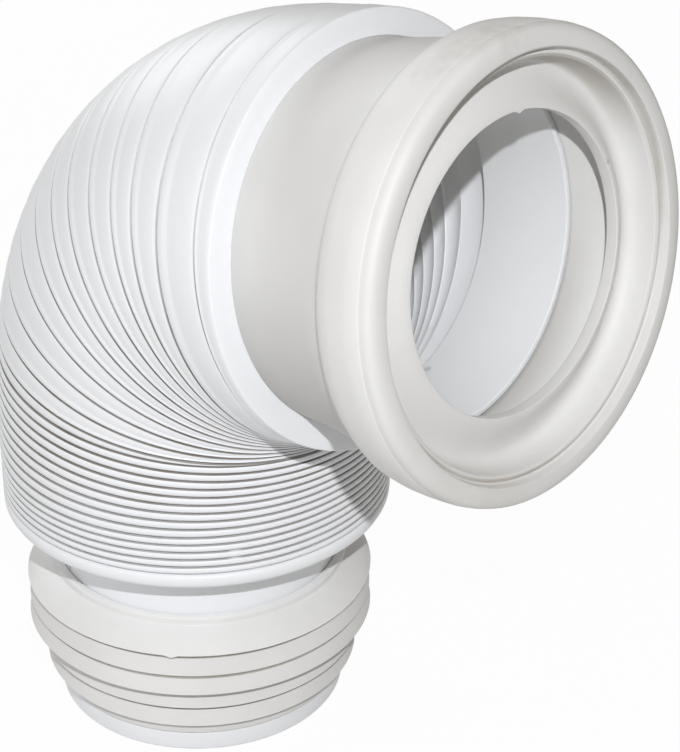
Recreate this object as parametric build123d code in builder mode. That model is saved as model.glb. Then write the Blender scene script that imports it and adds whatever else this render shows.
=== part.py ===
"""Flexible toilet pan connector: a folded tube, a rubber pan cuff and a finned spigot seal.

The frame stands on the outlet: the origin is the centre of the spigot's open end, +Z runs up the
spigot and +X is the way the pan cuff faces. The tube bends in the XZ plane. Millimetres and degrees.
"""
import os
from math import cos, radians, sin

from build123d import *

# Soft walls are drawn as rings with this many corners, so that many folds stay light
RING_SIDES = 48

# Spigot: a plain pipe end, with a thicker nose that keeps the seal from sliding off
SPIGOT_RADIUS = 47.5
NOSE_RIDGE = 1.8
NOSE_HEIGHT = 8.0
TUBE_WALL = 2.0

# Finned seal on the spigot, with skirts that hang outward and down
SEAL_CLEARANCE = 0.15
SEAL_WALL = 3.0
SEAL_HEIGHT = 46.0
FIN_COUNT = 5
WIDE_FIN_COUNT = 3
FIN_PITCH = 7.9
TOP_FIN_HEIGHT = 45.0
WIDE_FIN_REACH = 8.25
NARROW_FIN_REACH = 3.75
FIN_DROP = 6.0
FIN_THICKNESS = 3.0

# Folded tube: a groove and a crest for each fold, square to the spigot, then leaning, then fanned open
FOLD_RADIUS = 65.0
RIM_HEIGHT = 74.5
RIM_ROUND = 3.0
FIRST_GROOVE_HEIGHT = 80.0
GROOVE_DEPTH = 3.0
OPEN_GROOVE_DEPTH = 1.8
CREST_SHARE = 0.3
SQUARE_FOLDS = 5
CLOSED_PITCH = 2.68
LEANING_FOLDS = 9
LEAN = 0.85
OPEN_FOLDS = 10
HINGE_PITCH = 0.95
OPENING = 6.6
END_PITCH = 11.8
END_LEAN = 2.7
BORE_EVERY = 3

# Pan end, measured along the cuff's own axis from the end of its neck
END_BAND = 0.6
SHOULDER_LENGTH = 1.2
SLEEVE_RADIUS = 54.0
SHOULDER_WIDTH = 4.5
SLEEVE_LENGTH = 31.0

# Rubber cuff, pushed over the sleeve until its neck meets the shoulder
CUFF_CLEARANCE = 0.15
CUFF_LENGTH = 62.0
CUFF_WALL = 3.3
NECK_LENGTH = 42.0
NECK_FLARE = 5.8
BELL_LENGTH = 5.0
BELL_RISE = 3.7
LIP_WIDTH = 5.6
LEDGE_DEPTH = 3.4
LEDGE_WIDTH = 1.9
MEMBRANE_FALL = 5.0
MEMBRANE_WALL = 2.4
HOLE_RADIUS = 42.9
HOLE_LAND = 4.5
HOLE_BEAD = 2.0
HOLE_TRIM = 0.5
HOLE_EDGE = 0.25


def direction(tilt):
    """The tube's own direction where it leans from upright by this tilt."""
    return Vector(sin(radians(tilt)), 0, cos(radians(tilt)))


def facet(*corners):
    """A flat face with these corners."""
    return Face(Wire.make_polygon(corners))


def wall(rings):
    """A wall of flat facets that runs from ring to ring and closes on its first one."""
    turns = [radians(360 * number / RING_SIDES) for number in range(RING_SIDES)]
    loops = []
    for plane, radius in rings:
        loops.append([plane.from_local_coords((radius * cos(turn), radius * sin(turn))) for turn in turns])
    facets = []
    for near, far in zip(loops, loops[1:] + loops[:1]):
        for side in range(RING_SIDES):
            facets.append(facet(near[side - 1], near[side], far[side]))
            facets.append(facet(far[side], far[side - 1], near[side - 1]))
    return Solid(Shell(facets))


def around(radius):
    """The corner radius of a ring whose flats clear a round pipe of this radius."""
    return radius / cos(radians(180 / RING_SIDES))


def fold_ring(hinge, tilt, hinge_depth, outer_depth):
    """A leaning ring, from how far it lies inside the crest line at the hinge and opposite it."""
    across = direction(tilt + 90)
    near = hinge - across * hinge_depth
    far = hinge - across * (2 * FOLD_RADIUS - outer_depth)
    plane = Plane(origin=(near + far) / 2, x_dir=across, z_dir=direction(tilt))
    return plane, (near - far).length / 2


# Each fold is a pitch along the inner side of the bend, the hinge, and a turn
folds = [(CLOSED_PITCH, 0.0)] * SQUARE_FOLDS
folds += [(CLOSED_PITCH, LEAN)] * LEANING_FOLDS
folds += [(HINGE_PITCH, OPENING / 2)]
folds += [(HINGE_PITCH, OPENING)] * OPEN_FOLDS
folds += [(END_PITCH, END_LEAN)]
folds += [(END_BAND, END_LEAN)]

rim = Plane.XY.offset(RIM_HEIGHT)
rim_floor = rim.offset(TUBE_WALL)
spigot_root = SPIGOT_RADIUS - TUBE_WALL / 2
outer_rings = [(rim, spigot_root), (rim, FOLD_RADIUS - RIM_ROUND), (rim.offset(RIM_ROUND), FOLD_RADIUS)]
bore_rings = [(rim_floor, spigot_root), (rim_floor, FOLD_RADIUS - GROOVE_DEPTH - TUBE_WALL)]
hinge = Vector(FOLD_RADIUS, 0, FIRST_GROOVE_HEIGHT)
tilt = 0.0
for number, (pitch, turn) in enumerate(folds):
    # a groove shallows on the outer side of the bend as its fold opens
    openness = min(turn / OPENING, 1.0)
    outer_depth = GROOVE_DEPTH + (OPEN_GROOVE_DEPTH - GROOVE_DEPTH) * openness
    outer_rings.append(fold_ring(hinge, tilt, GROOVE_DEPTH, outer_depth))
    # the bore is plain up to the leaning folds, then it follows a few of the grooves
    if tilt > LEAN and number % BORE_EVERY == 0:
        bore_rings.append(fold_ring(hinge, tilt, GROOVE_DEPTH + TUBE_WALL, outer_depth + TUBE_WALL))
    crest_turn = turn * CREST_SHARE
    crest_hinge = hinge + direction(tilt + crest_turn / 2) * pitch * CREST_SHARE
    outer_rings.append(fold_ring(crest_hinge, tilt + crest_turn, 0, 0))
    hinge += direction(tilt + turn / 2) * pitch
    tilt += turn

# The shoulder closes the last fold down to the sleeve, square to the cuff's axis
band_end, band_radius = fold_ring(hinge, tilt, 0, 0)
neck_end = band_end.offset(SHOULDER_LENGTH)
step_face = neck_end.offset(-TUBE_WALL)
sleeve_root = SLEEVE_RADIUS - TUBE_WALL / 2
shoulder_radius = SLEEVE_RADIUS + SHOULDER_WIDTH
outer_rings += [(band_end, band_radius), (neck_end, shoulder_radius), (neck_end, sleeve_root)]
bore_rings += [(step_face, shoulder_radius - TUBE_WALL), (step_face, sleeve_root)]

with BuildPart() as tube:
    # spigot with its nose
    with BuildSketch():
        Circle(SPIGOT_RADIUS + NOSE_RIDGE)
        Circle(SPIGOT_RADIUS - TUBE_WALL, mode=Mode.SUBTRACT)
    extrude(amount=NOSE_HEIGHT)
    with BuildSketch():
        Circle(SPIGOT_RADIUS)
        Circle(SPIGOT_RADIUS - TUBE_WALL, mode=Mode.SUBTRACT)
    extrude(amount=RIM_HEIGHT + TUBE_WALL)
    # the sleeve that carries the cuff
    with BuildSketch(step_face):
        Circle(SLEEVE_RADIUS)
        Circle(SLEEVE_RADIUS - TUBE_WALL, mode=Mode.SUBTRACT)
    extrude(amount=TUBE_WALL + SLEEVE_LENGTH)
    # the folded wall between them
    add(wall(outer_rings + bore_rings[::-1]))

seal_foot = Plane.XY.offset(NOSE_HEIGHT)
seal_top = seal_foot.offset(SEAL_HEIGHT)
seal_bore = around(SPIGOT_RADIUS + SEAL_CLEARANCE)
seal_root = seal_bore + SEAL_WALL
seal_rings = [(seal_foot, seal_root), (seal_foot, seal_bore), (seal_top, seal_bore), (seal_top, seal_root)]
for number in range(FIN_COUNT):
    lip = Plane.XY.offset(TOP_FIN_HEIGHT - number * FIN_PITCH)
    reach = WIDE_FIN_REACH if number < WIDE_FIN_COUNT else NARROW_FIN_REACH
    seal_rings.append((lip.offset(FIN_DROP), seal_root))
    seal_rings.append((lip, seal_root + reach))
    seal_rings.append((lip.offset(FIN_DROP - FIN_THICKNESS), seal_root))

with BuildPart() as seal:
    add(wall(seal_rings))

cuff_bore = around(SLEEVE_RADIUS + CUFF_CLEARANCE)
neck_radius = cuff_bore + NECK_FLARE
flange_radius = neck_radius + CUFF_WALL + BELL_RISE
mouth_radius = flange_radius - LIP_WIDTH
ledge_radius = mouth_radius - LEDGE_WIDTH
sleeve_end = neck_end.offset(SLEEVE_LENGTH)
neck_front = neck_end.offset(NECK_LENGTH)
lip_front = neck_end.offset(CUFF_LENGTH)
ledge = lip_front.offset(-LEDGE_DEPTH)
hole_front = ledge.offset(-MEMBRANE_FALL)
hole_back = hole_front.offset(-HOLE_LAND)
cuff_rings = [(neck_end, cuff_bore), (neck_end, cuff_bore + CUFF_WALL), (neck_front, neck_radius + CUFF_WALL)]
cuff_rings += [(neck_front.offset(BELL_LENGTH), flange_radius), (lip_front, flange_radius)]
cuff_rings += [(lip_front, mouth_radius), (ledge, mouth_radius), (ledge, ledge_radius)]
cuff_rings += [(hole_front, HOLE_RADIUS + HOLE_BEAD), (hole_front, HOLE_RADIUS - HOLE_TRIM)]
cuff_rings += [(hole_back, HOLE_RADIUS - HOLE_TRIM), (hole_back, HOLE_RADIUS + HOLE_BEAD)]
cuff_rings += [(ledge.offset(-MEMBRANE_WALL), ledge_radius), (neck_front, neck_radius)]
cuff_rings += [(sleeve_end, cuff_bore)]

with BuildPart() as cuff:
    add(wall(cuff_rings))
    # the round hole that the pan's outlet stretches
    with BuildSketch(sleeve_end):
        Circle(HOLE_RADIUS)
    extrude(amount=CUFF_LENGTH - SLEEVE_LENGTH, mode=Mode.SUBTRACT)
    chamfer(cuff.edges().filter_by(GeomType.CIRCLE), length=HOLE_EDGE)

os.makedirs("parts", exist_ok=True)
tube.part.label = "flexible_tube"
export_step(tube.part, "parts/flexible_tube.step")
seal.part.label = "spigot_seal"
export_step(seal.part, "parts/spigot_seal.step")
cuff.part.label = "pan_cuff"
export_step(cuff.part, "parts/pan_cuff.step")
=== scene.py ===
# %% [markdown]
# # A flexible toilet pan connector
#
# Three mouldings make this object: a folded tube of cool white plastic, a warm white rubber cuff that takes
# the pan's outlet, and a warm white rubber seal with five skirts that is pushed into the soil pipe.
# The imported model is loaded first. It is the fixed frame. Sizes are named in millimetres and turns in degrees,
# and they become Blender's metres and radians where they are used.

# %% The frame
import bpy
import math
from mathutils import Matrix, Vector


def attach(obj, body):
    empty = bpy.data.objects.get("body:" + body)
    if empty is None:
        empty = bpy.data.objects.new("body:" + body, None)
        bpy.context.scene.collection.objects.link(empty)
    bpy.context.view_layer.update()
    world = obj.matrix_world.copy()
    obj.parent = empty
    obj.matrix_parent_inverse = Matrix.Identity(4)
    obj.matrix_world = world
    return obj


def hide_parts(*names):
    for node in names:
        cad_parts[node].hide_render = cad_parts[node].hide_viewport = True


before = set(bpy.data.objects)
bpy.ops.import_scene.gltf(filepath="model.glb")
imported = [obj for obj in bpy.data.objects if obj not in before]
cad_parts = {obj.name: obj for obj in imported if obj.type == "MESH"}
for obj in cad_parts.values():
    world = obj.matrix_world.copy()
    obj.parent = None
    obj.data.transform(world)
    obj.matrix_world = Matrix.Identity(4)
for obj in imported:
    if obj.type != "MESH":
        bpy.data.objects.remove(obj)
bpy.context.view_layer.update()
MM = 0.001

# %% [markdown]
# ## Turned sections
#
# The spigot, the sleeve, the cuff and the seal are round about an axis, as a mould's core is. Such a piece
# could be stacked from rings, but a maker draws half of its section once and spins it, and then every
# corner can be rounded in the section, where it is one point. A plane that is merged to a single point
# starts the line, and each extrude draws it on to the next corner. Points are chosen by their place,
# because their numbers change with every extrude.

# %% Choosing points
def alone(piece):
    """Selects one piece and makes it the active one."""
    bpy.ops.object.select_all(action="DESELECT")
    piece.select_set(True)
    bpy.context.view_layer.objects.active = piece


def choose(piece, wanted):
    """Edit mode on a piece, with just those points selected whose place in millimetres passes a test."""
    alone(piece)
    bpy.ops.object.mode_set(mode="EDIT")
    bpy.ops.mesh.select_mode(type="VERT")
    bpy.ops.mesh.select_all(action="DESELECT")
    bpy.ops.object.mode_set(mode="OBJECT")
    for point in piece.data.vertices:
        point.select = wanted(point.co / MM)
    bpy.ops.object.mode_set(mode="EDIT")


# %% A section, drawn and spun
SIDES = 144
DOUBLE_REACH = 0.001
SAME_CORNER = 0.002
WELD_REACH = 0.005
ROUNDING_STEPS = 4
SMOOTH_ANGLE = math.radians(50)


def draw_section(name, corners, closed):
    """A line of (radius, height, rounding) corners in millimetres, in the plane y = 0."""
    bpy.ops.object.select_all(action="DESELECT")
    bpy.ops.mesh.primitive_plane_add(size=MM, location=(0, 0, 0))
    piece = bpy.context.object
    piece.name = name
    places = [Vector((radius * MM, 0, height * MM)) for radius, height, _ in corners]
    bpy.ops.object.mode_set(mode="EDIT")
    bpy.ops.mesh.select_all(action="SELECT")
    bpy.ops.mesh.merge(type="CENTER")
    bpy.ops.transform.translate(value=places[0])
    for here, there in zip(places, places[1:] + places[:1] * closed):
        bpy.ops.mesh.extrude_vertices_move(TRANSFORM_OT_translate={"value": there - here})
    bpy.ops.mesh.select_all(action="SELECT")
    bpy.ops.mesh.remove_doubles(threshold=DOUBLE_REACH * MM)
    bpy.ops.object.mode_set(mode="OBJECT")
    for rounding in sorted({corner[2] for corner in corners if corner[2]}):
        spots = [place / MM for place, corner in zip(places, corners) if corner[2] == rounding]
        choose(piece, lambda point: min((point - spot).length for spot in spots) < SAME_CORNER)
        bpy.ops.mesh.bevel(offset=rounding * MM, segments=ROUNDING_STEPS, affect="VERTICES")
        bpy.ops.object.mode_set(mode="OBJECT")
    return piece


def weld():
    """In edit mode, merges points that lie on one another and turns every face outwards."""
    bpy.ops.mesh.select_all(action="SELECT")
    bpy.ops.mesh.remove_doubles(threshold=WELD_REACH * MM)
    bpy.ops.mesh.normals_make_consistent(inside=False)


def spin_section(piece):
    """Spins a drawn section once round the upright axis."""
    alone(piece)
    bpy.ops.object.mode_set(mode="EDIT")
    bpy.ops.mesh.select_all(action="SELECT")
    bpy.ops.mesh.spin(steps=SIDES, angle=math.tau, center=(0, 0, 0), axis=(0, 0, 1))
    weld()
    bpy.ops.object.mode_set(mode="OBJECT")
    print(piece.name, len(piece.data.polygons), "faces")


# %% [markdown]
# ## Fold outlines
#
# A fold is a groove, a narrow crest beside it and a web that runs to the next groove. Pushed together, it
# is a rounded ridge; pulled open on one side, it is a wedge that turns the tube. It could be a wave in one
# long section, but the fan needs wedges, so a fold is made of rings. The grooves stay equally wide all
# round, so a ring is given by four values: its share of the way between the groove's two edges, its inset
# from them in millimetres, its share of the groove's depth, and how much painted shade and dirt it takes,
# from 0 to 1. The groove's floor and the underside of a closed ridge are darkened mostly as painted shade.

# %% Rings of the folds
FLOOR_EDGE = 0.1
NEAR_EDGE = 0.16
EDGE = 0.2
BORE_EDGE = 0.45
DARK_EDGE = 0.55
FAR_EDGE = 0.6
# the fourth value of each ring is painted shade with some dirt: dark in the groove and on a closed ridge's lower
# side
CLOSED_CREST = [
    (0, 0, 1, 1), (0, NEAR_EDGE, 0.95, 1), (0, EDGE, 0.55, 0.9),
    (0.06, EDGE, 0.36, 0.7), (0.13, EDGE, 0.22, 0.35), (0.24, EDGE, 0.1, 0.08),
]
CLOSED_OUTLINE = CLOSED_CREST + [
    (0.42, EDGE, 0.02, 0), (0.62, EDGE, 0, 0), (0.82, EDGE, 0.02, 0), (0.94, EDGE, 0.06, 0),
    (1, EDGE, 0.12, 0), (1, NEAR_EDGE, 0.15, 1), (1, FLOOR_EDGE, 0.95, 1), (1, 0, 1, 1),
]
OPEN_CREST = [
    (0, 0, 1, 1), (0, FLOOR_EDGE, 0.95, 1), (0, NEAR_EDGE, 0.18, 1), (0, EDGE, 0.12, 0),
    (0.02, EDGE, 0.05, 0), (0.06, EDGE, 0.01, 0), (0.13, EDGE, 0, 0), (0.2, EDGE, 0.03, 0),
]
OPEN_STEP = [(0.25, EDGE, 0.1, 0), (0.3, EDGE, 0.1, 0)]
OPEN_WEB = [
    (0.45, EDGE, 0.04, 0), (0.65, EDGE, 0.03, 0), (0.82, EDGE, 0.07, 0), (0.93, EDGE, 0.13, 0),
    (1, FAR_EDGE, 0.2, 0), (1, DARK_EDGE, 0.23, 1), (1, FLOOR_EDGE, 0.95, 1), (1, 0, 1, 1),
]
OPEN_OUTLINE = OPEN_CREST + OPEN_STEP + OPEN_WEB
HALF_OPEN_OUTLINE = CLOSED_CREST + OPEN_WEB
END_OUTLINE = OPEN_CREST + [(0.26, EDGE, 0.06, 0), (0.5, 0, 0.03, 0), (1, 0, 0, 0)]
BORE_START = [(0, 0, 1, 0), (0, BORE_EDGE, 0.97, 0)]
BORE_OUTLINE = BORE_START + [(0.5, BORE_EDGE, 0.94, 0), (1, BORE_EDGE, 0.97, 0), (1, 0, 1, 0)]
END_BORE_OUTLINE = BORE_START + [(0.5, EDGE, 0.94, 0), (1, 0, 1, 0)]
print("rings in a closed fold", len(CLOSED_OUTLINE), "and in an open one", len(OPEN_OUTLINE))

# %% [markdown]
# ## A fold, ring by ring
#
# A fold's wall starts as a circle. It is extruded, and each new ring is shrunk, turned about the hinge and
# moved on, which keeps every fold open by its own angle. The bore's wall is made the same way. How much
# painted shade and dirt a ring takes stays on its points as `groove`, and an open fold's points also keep how
# many millimetres they lie `after` its first groove and `before` its second one, for the painted shade and
# dirt that line them.

# %% The fold strip
FOLD_RADIUS = 65.0
GROOVE_DEPTH = 3.0
OPEN_GROOVE_DEPTH = 1.8
OPENING = 6.6
BORE_WALL = 0.7
LINED_TURN = 1.0
HALF_TURN = 3.3
FAR_OFF = 9.0


def leaning(lean):
    """The direction that leans from upright by this angle, towards the pan."""
    return Vector((math.sin(lean), 0, math.cos(lean)))


def ring_place(fold, ring, wall):
    """Centre, lean and radius of a fold's ring, with the hinge's start at (FOLD_RADIUS, 0, 0)."""
    pitch, turn = fold
    share, inset, depth_share, _ = ring
    # rings on which two folds meet are equally deep all round, so that every pair of folds fits
    openness = min(turn / OPENING, 1.0) if inset else 0.0
    hinge_depth = depth_share * GROOVE_DEPTH + wall
    outer_depth = depth_share * (GROOVE_DEPTH + (OPEN_GROOVE_DEPTH - GROOVE_DEPTH) * openness) + wall
    whole = math.radians(turn)
    lean = whole * share
    near = leaning(0) * inset
    far = leaning(whole / 2) * pitch - leaning(whole) * inset
    across = leaning(lean + math.pi / 2)
    hinge = Vector((FOLD_RADIUS, 0, 0)) + near.lerp(far, share)
    centre = hinge - across * (FOLD_RADIUS + (hinge_depth - outer_depth) / 2)
    return centre * MM, lean, (FOLD_RADIUS - (hinge_depth + outer_depth) / 2) * MM


def keep(piece, name, values):
    """Keeps one number for each point of a piece."""
    piece.data.attributes.new(name, "FLOAT", "POINT").data.foreach_set("value", values)


def fold_strip(name, fold, outline, wall):
    """One wall of a fold, extruded ring by ring, with its painted shade and dirt kept on its points."""
    centre, lean, radius = ring_place(fold, outline[0], wall)
    bpy.ops.object.select_all(action="DESELECT")
    bpy.ops.mesh.primitive_circle_add(vertices=SIDES, radius=radius, fill_type="NOTHING", location=(0, 0, 0))
    strip = bpy.context.object
    strip.name = name
    bpy.ops.object.mode_set(mode="EDIT")
    bpy.ops.transform.translate(value=centre)
    for ring in outline[1:]:
        next_centre, next_lean, next_radius = ring_place(fold, ring, wall)
        bpy.ops.mesh.extrude_edges_move(TRANSFORM_OT_translate={"value": next_centre - centre})
        bpy.ops.transform.resize(value=[next_radius / radius] * 3, center_override=next_centre)
        if next_lean != lean:
            bpy.ops.transform.rotate(value=lean - next_lean, orient_axis="Y", center_override=next_centre)
        centre, lean, radius = next_centre, next_lean, next_radius
    bpy.ops.object.mode_set(mode="OBJECT")
    pitch, turn = fold
    end = Vector((FOLD_RADIUS, 0, 0)) + leaning(math.radians(turn / 2)) * pitch
    far = leaning(math.radians(turn))
    # each ring's painted shade and dirt, kept on its points as groove
    shade_and_dirt = [ring[-1] for ring in outline]
    starts = turn > LINED_TURN and shade_and_dirt[0] == 1 and turn != HALF_TURN
    ends = turn > LINED_TURN and shade_and_dirt[-1] == 1
    places = [point.co / MM for point in strip.data.vertices]
    keep(strip, "groove", [value for value in shade_and_dirt for _ in range(SIDES)])
    keep(strip, "after", [place.z if starts else FAR_OFF for place in places])
    keep(strip, "before", [(end - place).dot(far) if ends else FAR_OFF for place in places])
    return strip


# %% [markdown]
# ## The fan
#
# Five folds are square to the spigot, nine lean a little, and the rest fan open round the hinge, on the
# pan's side. No two of the open folds beside each other stand open by the same angle, as on a tube that
# was bent by hand. A fold of each kind is modelled once at the hinge's start, and its copies are set along
# the tube, each on the plane where the fold before it ends.

# %% Folds and their copies
CLOSED_PITCH = 2.68
SQUARE_FOLDS = 5
LEANING_FOLDS = 9
LEAN = 0.85
HINGE_PITCH = 0.95
OPEN_TURNS = [5.6, 7.3, 8.2, 7.2, 6.4, 5.8, 6.6, 6.3, 5.6, 7.0]
END_PITCH = 11.8
BAND_PITCH = 0.6
END_LEAN = 2.7
FIRST_GROOVE = 80.0
folds = [((CLOSED_PITCH, 0.0), CLOSED_OUTLINE, BORE_OUTLINE)] * SQUARE_FOLDS
folds += [((CLOSED_PITCH, LEAN), CLOSED_OUTLINE, BORE_OUTLINE)] * LEANING_FOLDS
folds += [((HINGE_PITCH, HALF_TURN), HALF_OPEN_OUTLINE, BORE_OUTLINE)]
folds += [((HINGE_PITCH, turn), OPEN_OUTLINE, BORE_OUTLINE) for turn in OPEN_TURNS]
folds += [((END_PITCH, END_LEAN), OPEN_OUTLINE, BORE_OUTLINE)]
folds += [((BAND_PITCH, END_LEAN), END_OUTLINE, END_BORE_OUTLINE)]

models = {}
strips = []
hinge = Vector((FOLD_RADIUS, 0, FIRST_GROOVE))
tilt = 0.0


def set_fold(hinge, tilt, fold, outline, bore):
    """Copies of a fold's outer and inner wall on the plane where the last one ended, and its own end."""
    if fold not in models:
        outer_model = fold_strip("fold_model", fold, outline, 0.0)
        models[fold] = [outer_model, fold_strip("bore_model", fold, bore, BORE_WALL)]
    pitch, turn = fold
    turned = Matrix.Rotation(math.radians(tilt), 4, "Y")
    place = Matrix.Translation(hinge * MM) @ turned @ Matrix.Translation((-FOLD_RADIUS * MM, 0, 0))
    for model in models[fold]:
        alone(model)
        bpy.ops.object.duplicate()
        bpy.context.object.matrix_world = place
        strips.append(bpy.context.object)
    return hinge + leaning(math.radians(tilt + turn / 2)) * pitch, tilt + turn


for fold, outline, bore in folds:
    hinge, tilt = set_fold(hinge, tilt, fold, outline, bore)
print(len(strips), "strips, last plane leans", round(tilt, 2), "hinge", [round(part, 2) for part in hinge])

# %% [markdown]
# ## The tube's two ends
#
# Below the folds, the tube closes in to a plain spigot with a thicker nose. At the pan's end a flat shoulder
# closes it down to a sleeve, which carries the cuff. Both could be extruded from the last rings, but they
# are round, so they are turned sections. The sleeve is drawn upright, as the spigot is, and then laid along
# the end of the fan.

# %% Spigot
SPIGOT_RADIUS = 47.5
SPIGOT_BORE = 45.5
NOSE_RADIUS = 49.3
RIM_HEIGHT = 74.5
RIM_FLOOR = 76.6
groove_radius = FOLD_RADIUS - GROOVE_DEPTH
bore_middle = groove_radius - BORE_WALL
spigot_line = [
    # the rim below the first groove
    (groove_radius, FIRST_GROOVE, 0), (63.2, 79.84, 0), (64.5, 79.6, 0), (64.9, 79.0, 0), (FOLD_RADIUS, 77.9, 0),
    (64.9, 76.4, 0), (64.3, 75.3, 0), (63.2, 74.7, 0), (61.5, RIM_HEIGHT, 0), (50.0, RIM_HEIGHT, 0),
    # the spigot, down to its nose
    (SPIGOT_RADIUS, 72.5, 0.8), (SPIGOT_RADIUS, 8.2, 0), (NOSE_RADIUS, 7.4, 0.5), (NOSE_RADIUS, 0, 1.4),
    # the bore, back up to the folds
    (SPIGOT_BORE, 0, 0.6), (SPIGOT_BORE, RIM_FLOOR, 0), (59.5, RIM_FLOOR, 0.8), (bore_middle, FIRST_GROOVE, 0),
]
spigot = draw_section("spigot", spigot_line, False)
spin_section(spigot)

# %% Sleeve
SLEEVE_RADIUS = 54.0
SLEEVE_BORE = 52.0
SLEEVE_LENGTH = 31.0
SEAT_RADIUS = 56.95
SHOULDER_LENGTH = 1.2
STEP_FACE = -1.7
along = leaning(math.radians(tilt))
below = leaning(math.radians(tilt + 90))
neck_end = hinge - below * FOLD_RADIUS + along * SHOULDER_LENGTH
cuff_place = Matrix.Translation(neck_end * MM) @ Matrix.Rotation(math.radians(tilt), 4, "Y")
sleeve_line = [
    # the edge of the last fold and the flat shoulder
    (FOLD_RADIUS, -SHOULDER_LENGTH, 0), (FOLD_RADIUS, 0.5, 0), (64.85, 0.8, 0), (64.5, 0.95, 0),
    (62.0, 0.98, 0), (59.0, 1.0, 0), (57.02, 1.02, 0),
    # the seat of the cuff's neck, and the sleeve inside that neck
    (SEAT_RADIUS, 0.6, 0), (SEAT_RADIUS, 0, 0), (SLEEVE_RADIUS, 0, 0), (SLEEVE_RADIUS, SLEEVE_LENGTH, 0.6),
    # the bore, back to the folds
    (SLEEVE_BORE, SLEEVE_LENGTH, 0.6), (SLEEVE_BORE, STEP_FACE, 0.8), (60.0, STEP_FACE, 0),
    (bore_middle - 0.4, -1.6, 0), (bore_middle, -SHOULDER_LENGTH, 0),
]


def place_along_cuff(piece):
    """From its own upright axis to the cuff's, with the end of the cuff's neck as its origin."""
    piece.matrix_world = cuff_place
    alone(piece)
    bpy.ops.object.transform_apply(location=True, rotation=True, scale=True)


sleeve = draw_section("sleeve", sleeve_line, False)
spin_section(sleeve)
place_along_cuff(sleeve)
print("neck end", [round(part, 2) for part in neck_end])

# %% [markdown]
# ## One closed wall
#
# The tube is a single moulding. Its folds and ends could stay side by side, but gaps would show in the dark
# grooves. The ends' first and last points lie on the end rings of the folds, so the pieces are joined, and
# merging doubles welds them. Edges that are still open are counted, and there should be none.

# %% Welding the tube
for piece in (spigot, sleeve):
    for name in ("after", "before"):
        keep(piece, name, [FAR_OFF] * len(piece.data.vertices))

alone(spigot)
for strip in strips + [sleeve]:
    strip.select_set(True)
bpy.ops.object.join()
folded_tube = spigot
folded_tube.name = "folded_tube"
bpy.ops.object.mode_set(mode="EDIT")
weld()
bpy.ops.mesh.select_all(action="DESELECT")
bpy.ops.mesh.select_non_manifold()
bpy.ops.object.mode_set(mode="OBJECT")
open_edges = sum(edge.select for edge in folded_tube.data.edges)
bpy.ops.object.shade_smooth_by_angle(angle=SMOOTH_ANGLE)
for pair in models.values():
    for model in pair:
        bpy.data.objects.remove(model)
print("folded tube", len(folded_tube.data.polygons), "faces, open edges", open_edges)

# %% [markdown]
# ## The rubber cuff
#
# The cuff flares from the sleeve to a bell with a rounded lip. Inside its mouth a ledge carries a thin dished
# membrane with a trough round it, and the pan's outlet stretches the membrane's hole. Neck, bell and
# membrane could be pieces of their own, but the cuff is one moulding, so it is one closed section, spun
# about its own axis and then laid along the end of the tube.

# %% Cuff section
HOLE_RADIUS = 42.9
cuff_line = [
    # the neck, flaring from the sleeve
    (54.2, 0, 0.4), (56.9, 0, 0.7), (57.3, 10, 0), (58.6, 20, 0), (60.1, 30, 0), (61.5, 36, 0), (62.6, 39.2, 0.6),
    # the bell
    (65.2, 41.2, 0), (66.4, 43.4, 0), (67.0, 47.0, 0), (67.3, 52.0, 0), (67.25, 57.4, 0), (66.9, 57.9, 0.12),
    # the rounded lip
    (66.95, 59.4, 0), (66.6, 60.6, 0), (65.8, 61.4, 0), (64.6, 61.85, 0), (63.0, 62.0, 0), (61.6, 62.0, 0),
    # the ledge inside the mouth, with its groove
    (60.5, 61.85, 0.25), (60.2, 59.3, 0.2), (59.7, 58.7, 0.15), (59.2, 59.1, 0.15), (57.7, 58.8, 0.4),
    # the trough
    (57.6, 56.8, 0), (57.4, 54.6, 0), (57.0, 52.6, 0), (56.2, 51.0, 0), (55.0, 50.1, 0), (53.4, 50.0, 0),
    # the membrane, in to its hole and back underneath
    (51.2, 50.6, 0), (48.8, 51.7, 0), (46.4, 53.0, 0), (44.6, 53.8, 0), (HOLE_RADIUS, 54.1, 0.35),
    (HOLE_RADIUS, 50.0, 0.5), (44.9, 49.6, 0.5), (49.0, 47.6, 0), (53.0, 46.2, 0), (59.5, 46.2, 1.0),
    # the inside of the bell, back to the sleeve's end
    (60.2, 43.0, 2.0), (54.4, 31.2, 0.4),
]
rubber_cuff = draw_section("rubber_cuff", cuff_line, True)
spin_section(rubber_cuff)
place_along_cuff(rubber_cuff)
bpy.ops.object.shade_smooth_by_angle(angle=SMOOTH_ANGLE)

# %% [markdown]
# ## A soft cuff
#
# Rubber is never quite round. The free end of the cuff droops a little, the hole stands wider on one side,
# and threads of flash are left on the hole's edge. All of that could be drawn by hand, but moving a few
# chosen points with proportional editing lets the rest of the rubber follow smoothly.

# %% Droop, wider hole and threads of flash
BELL_START = 38.0
DROOP = 0.7
HOLE_STRETCH = 1.035
HOLE_EDGE = 2.0
STRETCH_REACH = 8.0
THREADS = [(127.1, -32.1, 228.5), (127.7, -36.1, 224.0), (125.6, 5.4, 241.1)]
THREAD_LENGTH = 0.9
THREAD_REACH = 1.3
SOFTLY = {"use_proportional_edit": True, "proportional_edit_falloff": "SMOOTH"}


def in_bell(place):
    """Whether a place lies in the free end of the cuff, past its neck."""
    return (place - neck_end).dot(along) > BELL_START


def inward(place):
    """From a place to the cuff's axis, square to it."""
    off = place - neck_end
    return along * off.dot(along) - off


def near_hole(place):
    """Whether a place lies on the membrane's edge, round the hole."""
    return in_bell(place) and inward(place).length < HOLE_RADIUS + HOLE_EDGE


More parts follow.
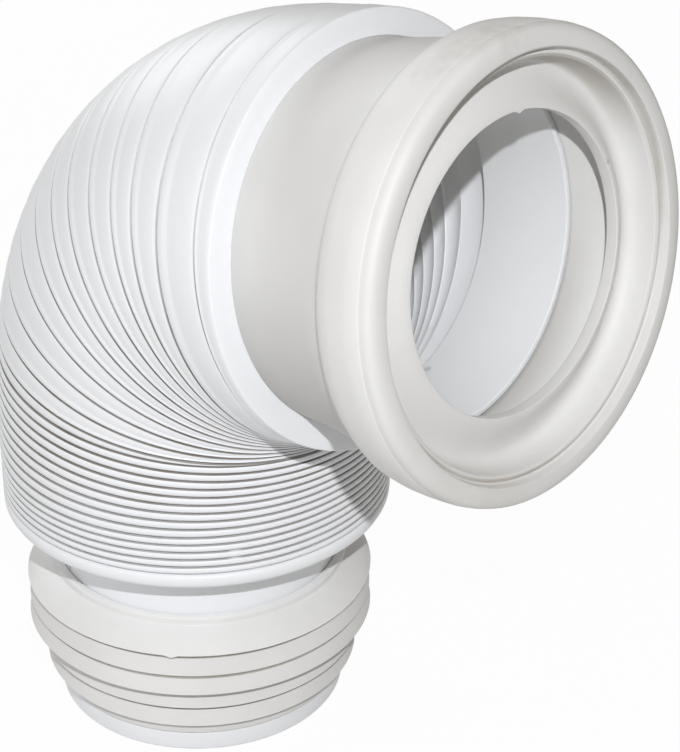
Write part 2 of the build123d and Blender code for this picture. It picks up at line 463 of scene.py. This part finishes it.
def pull(piece, place, way, reach):
    """Pulls the points of a piece that lie within reach of a place, in millimetres."""
    choose(piece, lambda point: (point - place).length < reach)
    bpy.ops.transform.translate(value=way * MM, use_proportional_edit=False)
    bpy.ops.object.mode_set(mode="OBJECT")
    print(piece.name, "points pulled:", sum(point.select for point in piece.data.vertices))


choose(rubber_cuff, in_bell)
bpy.ops.transform.translate(value=below * DROOP * MM, proportional_size=BELL_START * MM, **SOFTLY)
bpy.ops.object.mode_set(mode="OBJECT")
choose(rubber_cuff, near_hole)
hole_side = (neck_end.x * MM, -HOLE_RADIUS * MM, neck_end.z * MM)
bpy.ops.transform.resize(
    value=(1, HOLE_STRETCH, 1),
    center_override=hole_side,
    proportional_size=STRETCH_REACH * MM,
    **SOFTLY,
)
bpy.ops.object.mode_set(mode="OBJECT")
for thread in map(Vector, THREADS):
    pull(rubber_cuff, thread, inward(thread).normalized() * THREAD_LENGTH, THREAD_REACH)

# %% [markdown]
# ## The finned seal
#
# The seal grips the spigot above the nose. Three wide skirts and two narrow ones hang outward and down, so
# that they bend as they enter the soil pipe and then push against it. A skirt could be modelled once and
# copied, but each hangs in its own way over the next, so all five are drawn in one section: the top of a
# skirt, its rounded lip, its underside and the wall below it. Here a corner's third value is how much painted
# shade and dirt it takes.

# %% Seal section
SEAL_BORE = 47.65
SEAL_ROOT = 50.3
SEAL_FOOT = 8.0
SEAL_TOP = 54.2
SKIRTS = [
    # first
    (51.2, 51.2, 0), (54.0, 49.9, 0), (57.0, 47.6, 0), (59.0, 45.4, 0), (58.5, 44.8, 1), (55.2, 46.2, 1),
    (51.9, 46.9, 1),
    # second
    (52.3, 45.9, 1), (55.2, 45.0, 1), (56.9, 43.6, 1), (57.05, 43.2, 1), (57.1, 43.05, 0), (58.0, 40.6, 0),
    (58.7, 37.4, 0), (58.2, 36.8, 1), (53.5, 39.2, 1),
    # third
    (53.7, 38.2, 1), (56.0, 37.2, 1), (57.3, 35.8, 1), (57.44, 35.45, 1), (57.5, 35.3, 0), (58.5, 32.8, 0),
    (59.1, 30.1, 0), (58.5, 29.5, 1), (52.5, 32.2, 1),
    # fourth
    (52.2, 29.4, 1), (53.5, 28.0, 1), (53.7, 27.3, 1), (53.75, 27.15, 0), (54.2, 25.2, 0), (55.0, 21.8, 0),
    (54.4, 21.2, 1), (51.4, 22.3, 1),
    # fifth, and the wall below it
    (51.0, 20.2, 1), (52.2, 19.2, 1), (52.3, 19.05, 0), (53.0, 16.4, 0), (53.8, 13.6, 0), (53.2, 13.0, 1),
    (SEAL_ROOT, 13.8, 1), (SEAL_ROOT, 11.6, 1), (SEAL_ROOT, 11.4, 0),
]
seal_line = [(SEAL_BORE, SEAL_FOOT, 0.3), (SEAL_BORE, SEAL_TOP, 0.4), (SEAL_ROOT, SEAL_TOP, 1.1)]
seal_line += [(SEAL_ROOT, 51.6, 0.3)] + [(radius, height, 0) for radius, height, _ in SKIRTS]
seal_line += [(SEAL_ROOT, SEAL_FOOT, 0.5)]
finned_seal = draw_section("finned_seal", seal_line, True)
spin_section(finned_seal)
bpy.ops.object.shade_smooth_by_angle(angle=SMOOTH_ANGLE)

# %% [markdown]
# ## Painted shade and dirt under the skirts
#
# Shade is painted, with some dirt, in a thin dark line under each lip and in the corners between the skirts,
# and one drip of rubber hangs from the first lip. A mask by height would smear over the lips, so each point
# takes the painted shade and dirt of the corner it was spun from, and the material reads it as `groove`, as on
# the tube.

# %% Drip, and painted shade and dirt
DRIP = Vector((36.2, -46.4, 45.3))
DRIP_WAY = Vector((0.2, -0.2, -0.7))
DRIP_REACH = 1.2
drawn = SKIRTS + [(radius, height, 0) for radius in (SEAL_ROOT, SEAL_BORE) for height in (SEAL_FOOT, SEAL_TOP)]


def shade_and_dirt_at(place):
    """The painted shade and dirt of the drawn corner that a point of the seal was spun from."""
    radius = math.hypot(place.x, place.y) / MM
    return min((math.hypot(radius - corner[0], place.z / MM - corner[1]), corner[2]) for corner in drawn)[1]


pull(finned_seal, DRIP, DRIP_WAY, DRIP_REACH)
keep(finned_seal, "groove", [shade_and_dirt_at(point.co) for point in finned_seal.data.vertices])

# %% [markdown]
# ## Shader maths
#
# A finish is a sum of small masks: grooves, mottling, scuffs. Node by node that is long to write, so one
# class wraps a socket and turns arithmetic into Math nodes, and one method makes every other node.

# %% A wire
class Wire:
    """A socket that can be added, multiplied and compared."""

    def __init__(self, finish, socket):
        self.finish = finish
        self.socket = socket

    def math(self, operation, other):
        return self.finish.math(operation, self, other)

    def __add__(self, other):
        return self.math("ADD", other)

    def __sub__(self, other):
        return self.math("SUBTRACT", other)

    def __rsub__(self, other):
        return self.finish.math("SUBTRACT", other, self)

    def __mul__(self, other):
        return self.math("MULTIPLY", other)

    def __truediv__(self, other):
        return self.math("DIVIDE", other)

    def __rtruediv__(self, other):
        return self.finish.math("DIVIDE", other, self)

    __radd__ = __add__
    __rmul__ = __mul__

    def between(self, low, high):
        """0 at low and 1 at high, smooth between."""
        settings = {"interpolation_type": "SMOOTHSTEP"}
        sockets = {"Value": self, "From Min": low, "From Max": high}
        return self.finish.node("ShaderNodeMapRange", settings, sockets).out("Result")

    def spread(self, low, high):
        """low where this is 0 and high where it is 1."""
        return self * (high - low) + low


# %% A finish
MIX_UNDER = 6
MIX_OVER = 7
MIX_COLOUR = 2


class Made:
    """A node just made, whose outputs come as wires."""

    def __init__(self, finish, node):
        self.finish = finish
        self.node = node

    def out(self, name):
        return Wire(self.finish, self.node.outputs[name])


class Finish:
    """A node tree in the making: a material's, the world's or a lamp's."""

    def __init__(self, tree):
        self.tree = tree
        tree.nodes.clear()

    def node(self, kind, settings, sockets):
        node = self.tree.nodes.new(kind)
        for name, value in settings.items():
            setattr(node, name, value)
        for name, value in sockets.items():
            if isinstance(value, Wire):
                self.tree.links.new(value.socket, node.inputs[name])
            else:
                node.inputs[name].default_value = value
        return Made(self, node)

    def math(self, operation, *values):
        return self.node("ShaderNodeMath", {"operation": operation}, dict(enumerate(values))).out(0)

    def vector(self, operation, out, *values):
        return self.node("ShaderNodeVectorMath", {"operation": operation}, dict(enumerate(values))).out(out)

    def attribute(self, name):
        return self.node("ShaderNodeAttribute", {"attribute_name": name}, {}).out("Fac")

    def noise(self, place, scale, detail):
        sockets = {"Vector": place, "Scale": scale, "Detail": detail}
        return self.node("ShaderNodeTexNoise", {}, sockets).out("Fac")

    def mix(self, factor, under, over):
        sockets = {0: factor, MIX_UNDER: under, MIX_OVER: over}
        return self.node("ShaderNodeMix", {"data_type": "RGBA"}, sockets).out(MIX_COLOUR)


def new_finish(name):
    """A new material with an empty node tree."""
    material = bpy.data.materials.new(name)
    material.use_nodes = True
    return material, Finish(material.node_tree)


# %% [markdown]
# ## Places on the object
#
# Marks, the painted shade in the grooves and the painted shade on the neck lie at known places of the object.
# They could be painted, but a mask that measures millimetres from a point, a plane or an axis needs no picture
# and follows the shape. Fine noise breaks the marks up, so that they look rubbed on.

# %% Masks by place, and the skin they share
IN_MM = 1000
SPOT_CORE = 0.35
SMEAR_NOISE = (300.0, 4.0)
SMEAR_FADE = (0.15, 0.75)
GRAIN_DEPTH = 0.0003
CLOUD_BUMP = 2
# the colour of real marks, and of the painted shade in the trough and the ledge's groove
MARK_AND_SHADE_TINT = (0.3, 0.265, 0.215, 1)


def spot(finish, place, centre, reach):
    """1 at a centre in millimetres, fading to 0 at its reach."""
    gap = finish.vector("DISTANCE", "Value", place, Vector(centre) * MM)
    return 1 - (gap * IN_MM).between(reach * SPOT_CORE, reach)


def marked(finish, place, colour, marks, tint):
    """A colour with spots of a tint, each a centre, a reach and a strength, broken up by noise."""
    broken = finish.noise(place, *SMEAR_NOISE).between(*SMEAR_FADE)
    for centre, reach, strength in marks:
        colour = finish.mix(spot(finish, place, centre, reach) * broken * strength, colour, tint)
    return colour


def far_along(finish, place, start, way):
    """How far a place lies from start in the direction of way, in millimetres."""
    gap = finish.vector("SUBTRACT", "Vector", place, start * MM)
    return finish.vector("DOT_PRODUCT", "Value", gap, way) * IN_MM


def off_axis(finish, place, start, way):
    """How far a place lies from the line through start in the direction of way, in millimetres."""
    gap = finish.vector("SUBTRACT", "Vector", place, start * MM)
    across = finish.vector("CROSS_PRODUCT", "Vector", gap, way)
    return finish.vector("LENGTH", "Value", across) * IN_MM


def skin(finish, colour, roughness, gloss, cloud, grain, relief):
    """The surface itself, with a colour, a roughness, a gloss and a fine relief."""
    sockets = {"Strength": relief, "Distance": GRAIN_DEPTH, "Height": grain + cloud * CLOUD_BUMP}
    bump = finish.node("ShaderNodeBump", {}, sockets)
    sockets = {"Base Color": colour, "Roughness": roughness, "Normal": bump.out("Normal")}
    sockets["Specular IOR Level"] = gloss
    surface = finish.node("ShaderNodeBsdfPrincipled", {}, sockets)
    finish.node("ShaderNodeOutputMaterial", {}, {"Surface": surface.out("BSDF")})


# %% [markdown]
# ## Plastic of the tube
#
# The tube is cool white polythene with a satin skin, and its grooves are darker than its crests: painted shade
# with some dirt. Dark grooves could be left to the light, but the painted shade is what makes them read, so it
# comes from the values that the folds keep. It is fainter towards the top of the bend, where the grooves stand
# more open, lighter low in the stack, and it breaks at the parting line. A mark on the bore and a speck on the
# spigot are spots.

# %% Cool plastic
TUBE_WHITE = (0.87, 0.89, 0.925, 1)
TUBE_CLOUD = (0.85, 0.868, 0.893, 1)
# the colour of the painted shade and dirt in the grooves
GROOVE_TINT = (0.17, 0.145, 0.115, 1)
TUBE_MARKS = [((85.4, 17.6, 143.5), 1.8, 0.5), ((-15.2, -45.0, 55.4), 1.4, 0.9)]
SEAM_BREAK = (54.2, -34.6, 86.6)
SEAM_REACH = 3.2
SEAM_LOSS = 0.75
LINE_SHARE = 0.35
LINE_REACH = 0.85
AFTER_FADE = (0.22, 0.42)
BEFORE_FADE = (0.7, 1.0)
FAINT_HEIGHTS = (165, 225)
FAINT_LOSS = 0.66
STACK_FADE_HEIGHTS = (82, 130)
STACK_FADE_LEVELS = (0.5, 0.9)
UNEVEN_NOISE = (60.0, 2.0)
UNEVEN_LEVELS = (0.66, 1.26)
TUBE_CLOUDS = (45.0, 3.0)
TUBE_GRAIN = (900.0, 2.0)
TUBE_FADE = (0.3, 0.75)
TUBE_CLOUDED = 0.25
TUBE_ROUGHNESS = (0.36, 0.48)


def groove_shade_and_dirt(finish, place):
    """Painted shade and dirt in the grooves and in a line along each open one, fainter high up, lighter low in
    the stack and uneven.
    """
    groove = finish.attribute("groove")
    after = finish.attribute("after")
    before = finish.attribute("before")
    height = finish.node("ShaderNodeSeparateXYZ", {}, {"Vector": place}).out("Z") * IN_MM
    # painted shade with some dirt in the grooves and along each open groove; fainter high on the bend, lighter
    # low in the stack
    reach = ((after + before) * LINE_SHARE).math("MINIMUM", LINE_REACH)
    clear = (after / reach).between(*AFTER_FADE).math("MINIMUM", (before / reach).between(*BEFORE_FADE))
    fainter_high = 1 - height.between(*FAINT_HEIGHTS) * FAINT_LOSS
    stack_fade = height.between(*STACK_FADE_HEIGHTS).spread(*STACK_FADE_LEVELS)
    uneven = finish.noise(place, *UNEVEN_NOISE).spread(*UNEVEN_LEVELS)
    shade_and_dirt = groove.math("MAXIMUM", 1 - clear) * fainter_high * stack_fade * uneven
    shade_and_dirt = shade_and_dirt * (1 - spot(finish, place, SEAM_BREAK, SEAM_REACH) * SEAM_LOSS)
    return shade_and_dirt.math("MINIMUM", 1)


def cool_plastic():
    material, finish = new_finish("cool_plastic")
    place = finish.node("ShaderNodeTexCoord", {}, {}).out("Object")
    cloud = finish.noise(place, *TUBE_CLOUDS)
    grain = finish.noise(place, *TUBE_GRAIN)
    colour = finish.mix(cloud.between(*TUBE_FADE) * TUBE_CLOUDED, TUBE_WHITE, TUBE_CLOUD)
    colour = finish.mix(groove_shade_and_dirt(finish, place), colour, GROOVE_TINT)
    colour = marked(finish, place, colour, TUBE_MARKS, MARK_AND_SHADE_TINT)
    roughness = cloud.spread(*TUBE_ROUGHNESS)
    skin(finish, colour, roughness, gloss=0.4, cloud=cloud, grain=grain, relief=0.12)
    return material


# %% [markdown]
# ## Rubber of the cuff and the seal
#
# The rubber is warmer and duller than the tube, and a little cloudy, as filled rubber is. On the cuff, the neck
# is greyer, partly the rubber's own grey and partly painted shade that is darkest below, shadow is painted
# into the top of the trough and shade into the ledge's groove, its lower lip has yellowed a little, and a scuff,
# a speck and faint smudges show on it. One finish could serve both pieces, but only the cuff has those, so the
# white is handed in.

# %% Warm rubber
RUBBER_WHITE = (0.785, 0.786, 0.787, 1)
RUBBER_CLOUD = (0.74, 0.739, 0.735, 1)
RUBBER_CLOUDS = (38.0, 4.0)
RUBBER_GRAIN = (1100.0, 2.0)
RUBBER_FADE = (0.35, 0.75)
RUBBER_CLOUDED = 0.7
RUBBER_ROUGHNESS = (0.5, 0.6)
# the colour of the painted shade and dirt under the skirts
SKIRT_TINT = (0.36, 0.335, 0.3, 1)
SKIRT_LEVELS = (0.55, 1.05)
NECK_GREY = (0.5, 0.495, 0.48, 1)
NECK_END = (30, 42)
NECK_SHADE_BELOW = (-15, 45)
NECK_SHADE_LEVELS = (0.2, 0.95)
TROUGH_START = (54.6, 56.4)
TROUGH_END = (57.7, 58.2)
TROUGH_FRONT = (47, 50)
TROUGH_SHADE_FADE = (-52, -15)
TROUGH_SHADE = 0.6
LEDGE_START = (59.0, 59.5)
LEDGE_END = (60.0, 60.4)
LEDGE_FRONT = (57, 58)
LEDGE_LEVELS = (0.2, 0.7)
AGED_TINT = (0.62, 0.53, 0.36, 1)
AGED_SPOTS = [((147.2, -21.7, 140.0), 16.0, 0.16), ((145.9, -39.8, 149.7), 12.0, 0.1)]
CUFF_MARKS = [((141.0, 51.0, 163.4), 2.4, 0.45), ((128.8, 42.9, 216.5), 1.3, 0.5)]
SMUDGES = [((123.1, -16.7, 262.8), 9.0, 0.16), ((126.1, -5.2, 265.0), 10.0, 0.2)]
SMUDGES += [((121.4, -26.9, 259.0), 8.0, 0.14)]


def rubber_white(finish, place, cloud):
    """The seal's white, with painted shade and dirt where its points keep it."""
    colour = finish.mix(cloud.between(*RUBBER_FADE) * RUBBER_CLOUDED, RUBBER_WHITE, RUBBER_CLOUD)
    # painted shade and dirt under the skirts, kept on the points as groove
    return finish.mix(finish.attribute("groove") * cloud.spread(*SKIRT_LEVELS), colour, SKIRT_TINT)


def cuff_white_with_shade(finish, place, cloud):
    """The cuff's white: greyer on the neck, partly the rubber's own grey and partly painted shade, darkest below.
    """
    colour = rubber_white(finish, place, cloud)
    outward = far_along(finish, place, neck_end, along)
    downward = far_along(finish, place, neck_end, below)
    radius = off_axis(finish, place, neck_end, along)
    neck = 1 - outward.between(*NECK_END)
    # painted shade on the neck, darkest on its lower side, over the rubber's own grey
    colour = finish.mix(neck * downward.between(*NECK_SHADE_BELOW).spread(*NECK_SHADE_LEVELS), colour, NECK_GREY)
    # painted shadow in the top of the trough, where the lip and the ledge cast it; none lower down
    trough = radius.between(*TROUGH_START) * (1 - radius.between(*TROUGH_END)) * outward.between(*TROUGH_FRONT)
    colour = finish.mix(trough * (1 - downward.between(*TROUGH_SHADE_FADE)) * TROUGH_SHADE, colour, MARK_AND_SHADE_TINT)
    # painted shade in the groove between the lip and the ledge, all round
    ledge = radius.between(*LEDGE_START) * (1 - radius.between(*LEDGE_END)) * outward.between(*LEDGE_FRONT)
    colour = finish.mix(ledge * cloud.spread(*LEDGE_LEVELS), colour, MARK_AND_SHADE_TINT)
    colour = marked(finish, place, colour, AGED_SPOTS, AGED_TINT)
    return marked(finish, place, colour, CUFF_MARKS + SMUDGES, MARK_AND_SHADE_TINT)


def warm_rubber(name, white):
    material, finish = new_finish(name)
    place = finish.node("ShaderNodeTexCoord", {}, {}).out("Object")
    cloud = finish.noise(place, *RUBBER_CLOUDS)
    grain = finish.noise(place, *RUBBER_GRAIN)
    colour = white(finish, place, cloud)
    roughness = cloud.spread(*RUBBER_ROUGHNESS)
    skin(finish, colour, roughness, gloss=0.35, cloud=cloud, grain=grain, relief=0.15)
    return material


# %% [markdown]
# ## Dressing the frame
#
# Each piece takes its finish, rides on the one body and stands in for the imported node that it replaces. The
# nodes could be kept under the pieces, but two surfaces on one place would flicker.

for piece, material, node, slot in [
    (folded_tube, cool_plastic(), "flexible_tube", "tube_plastic"),
    (rubber_cuff, warm_rubber("warm_cuff", cuff_white_with_shade), "pan_cuff", "cuff_rubber"),
    (finned_seal, warm_rubber("warm_seal", rubber_white), "spigot_seal", "seal_rubber"),
]:
    piece.data.materials.clear()
    piece.data.materials.append(material)
    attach(piece, "root")
    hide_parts(node)
    print(piece.name, "takes", material.name)

# %% [markdown]
# ## Floor and surroundings
#
# The object stands on white. More light would bleach the object as well, so the floor and the world show
# white to the camera alone, and the floor keeps a trace of the shadow. To the object, the floor is matt and
# the surroundings give a little warm light.

# %% White floor
FLOOR_SIZE = 12
FLOOR_DROP = 0.0003
FLOOR_GREY = (0.72, 0.72, 0.72, 1)
FLOOR_SHOWN = 0.97
WHITE = (1, 1, 1, 1)

bpy.ops.object.select_all(action="DESELECT")
bpy.ops.mesh.primitive_plane_add(size=FLOOR_SIZE, location=(0, 0, -FLOOR_DROP))
floor = bpy.context.object
floor.name = "floor"
bpy.ops.object.transform_apply(location=True)
paper, finish = new_finish("white_floor")
paths = finish.node("ShaderNodeLightPath", {}, {})
seen = paths.out("Is Camera Ray").math("MAXIMUM", paths.out("Is Glossy Ray"))
seen = seen.math("MAXIMUM", paths.out("Is Transmission Ray"))
matt = finish.node("ShaderNodeBsdfDiffuse", {}, {"Color": FLOOR_GREY}).out("BSDF")
white = finish.node("ShaderNodeEmission", {}, {"Color": WHITE, "Strength": 1.0}).out("Emission")
blended = finish.node("ShaderNodeMixShader", {}, {0: seen * FLOOR_SHOWN, 1: matt, 2: white}).out("Shader")
finish.node("ShaderNodeOutputMaterial", {}, {"Surface": blended})
floor.data.materials.append(paper)
print("floor", FLOOR_SIZE, "m wide")

# %% Surroundings
AMBIENT = (1, 0.93, 0.82, 1)
AMBIENT_LEVEL = 0.25

world = bpy.data.worlds.new("studio")
bpy.context.scene.world = world
world.use_nodes = True
finish = Finish(world.node_tree)
paths = finish.node("ShaderNodeLightPath", {}, {})
seen = paths.out("Is Camera Ray").math("MAXIMUM", paths.out("Is Transmission Ray"))
level = seen.spread(AMBIENT_LEVEL, 1)
around = finish.node("ShaderNodeBackground", {}, {"Color": AMBIENT, "Strength": level})
finish.node("ShaderNodeOutputWorld", {}, {"Surface": around.out("Background")})
print("surroundings at", AMBIENT_LEVEL)

# %% [markdown]
# ## Lamps
#
# A small flash just above the camera throws crisp shadows inside the hole and under the folds. One near lamp
# would burn out what stands nearest, so its light falls off linearly. A window behind and a pale wall at the
# side fill the shadows softly, and a weak warm lamp in the bend stands for the light that comes through the
# thin white wall of the tube.

# %% Flash, window, wall and the light in the bend
MIDDLE = Vector((0.04, 0, 0.14))
BEND = Vector((0.11, 0.03, 0.19))


def lamp(name, place, aim, size, power, colour):
    """A round lamp of a size in metres and a power in watts."""
    bpy.ops.object.light_add(type="AREA", location=place)
    made = bpy.context.object
    made.name = name
    made.data.shape = "DISK"
    made.data.size = size
    made.data.energy = power
    made.data.color = colour
    made.rotation_euler = (aim - Vector(place)).to_track_quat("-Z", "Y").to_euler()
    print(name, power, "W")
    return made


flash = lamp("flash", (0.4391, -0.3718, 0.5103), MIDDLE, 0.012, 4.5, (0.985, 0.99, 1))
flash.data.use_nodes = True
finish = Finish(flash.data.node_tree)
reach = finish.node("ShaderNodeLightFalloff", {}, {"Strength": 1.0}).out("Linear")
beam = finish.node("ShaderNodeEmission", {}, {"Color": WHITE, "Strength": reach}).out("Emission")
finish.node("ShaderNodeOutputLight", {}, {"Surface": beam})
lamp("window", (-1.2, 0.35, 0.75), MIDDLE, 0.9, 7.0, (0.96, 0.98, 1))
lamp("glow", (0.05, -0.02, 0.228), BEND, 0.03, 0.006, (1, 0.9, 0.72))
lamp("wall", (-0.6, -1.2, 0.5), MIDDLE, 0.9, 3.0, (0.97, 0.985, 1))

# %% [markdown]
# ## Camera
#
# The camera stands where the photograph's did. It could be placed by eye, but the circles that the photograph
# shows fix its place, its turn and its lens, in pixels. It has a small shift, because the photograph's middle
# isn't the lens's.

# %% Camera from the photograph's circles
PHOTO_WIDTH = 680
FOCAL_PIXELS = 2092.16
SHIFT_PIXELS = (-21.25, 44.32)
SENSOR_WIDTH = 36
EYE = Vector((0.453739, -0.412515, 0.438367))
RIGHT = Vector((0.73132, 0.68191, 0.01331))
UP = Vector((-0.33866, 0.34612, 0.87493))
bpy.ops.object.camera_add(location=EYE)
camera = bpy.context.object
camera.name = "photo_camera"
camera.rotation_euler = Matrix((RIGHT, UP, RIGHT.cross(UP))).transposed().to_euler()
camera.data.sensor_width = SENSOR_WIDTH
camera.data.sensor_fit = "HORIZONTAL"
camera.data.lens = FOCAL_PIXELS * SENSOR_WIDTH / PHOTO_WIDTH
camera.data.shift_x = SHIFT_PIXELS[0] / PHOTO_WIDTH
camera.data.shift_y = SHIFT_PIXELS[1] / PHOTO_WIDTH
bpy.context.scene.camera = camera
bpy.context.scene.view_settings.view_transform = "Standard"
print("camera lens", round(camera.data.lens, 1), "mm")
